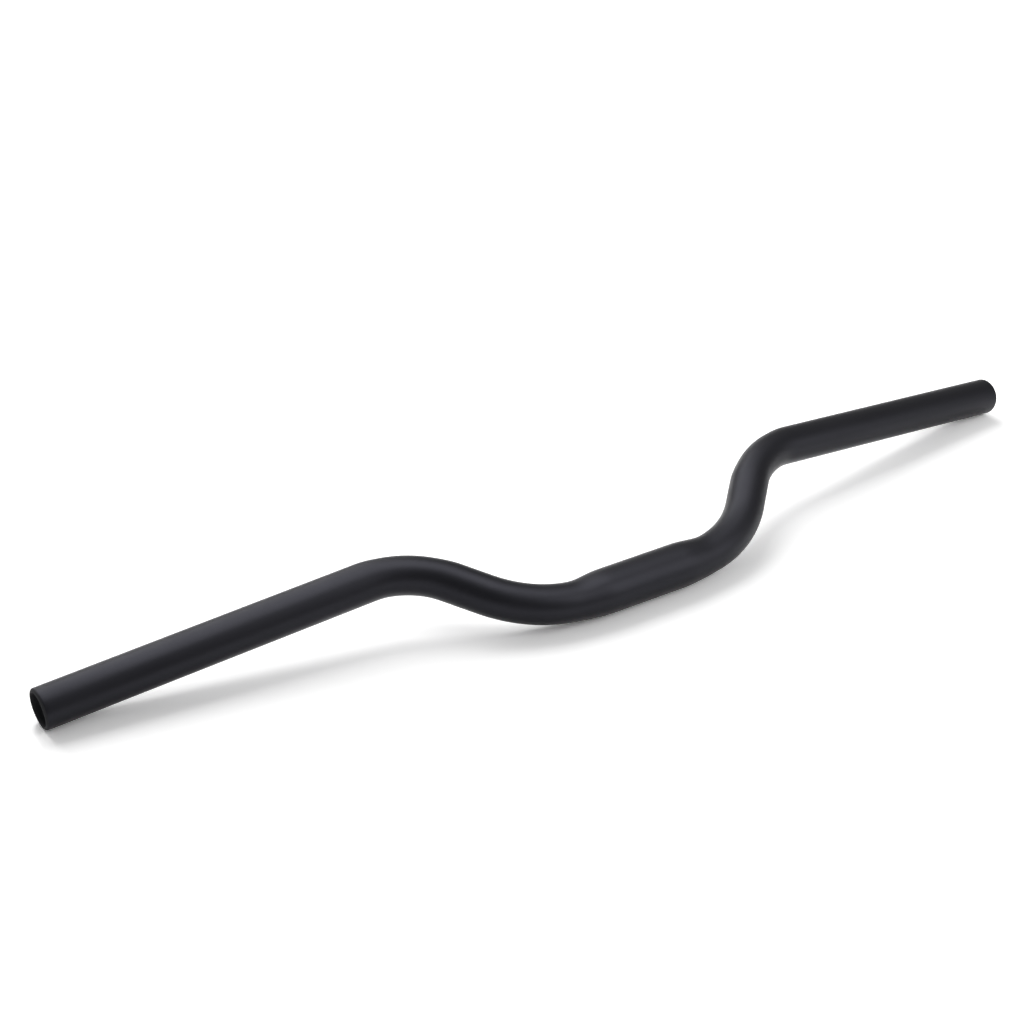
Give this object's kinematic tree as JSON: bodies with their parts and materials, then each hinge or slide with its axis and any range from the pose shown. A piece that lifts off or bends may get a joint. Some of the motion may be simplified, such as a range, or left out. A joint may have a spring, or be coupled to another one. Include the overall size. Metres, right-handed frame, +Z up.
{
  "type": "riser handlebar",
  "caption": "Riser bicycle handlebar: a bent aluminium tube with a thick clamp middle, rising legs, swept grips and open ends, finished matte black.",
  "frame": {"origin": "on the axis of the thick middle that the stem clamps, halfway along it", "axes": "+X along the clamp, towards the right grip as the picture shows it; +Y towards the grips, level; +Z up, square to the table that the bar lies on with its middle and both ends"},
  "size_m": [0.6622, 0.0833, 0.0414],
  "materials": {
    "tube": "matte black anodised over a fine bead blast"
  },
  "bodies": {
    "root": {"handlebar": "tube"}
  },
  "joints": []
}
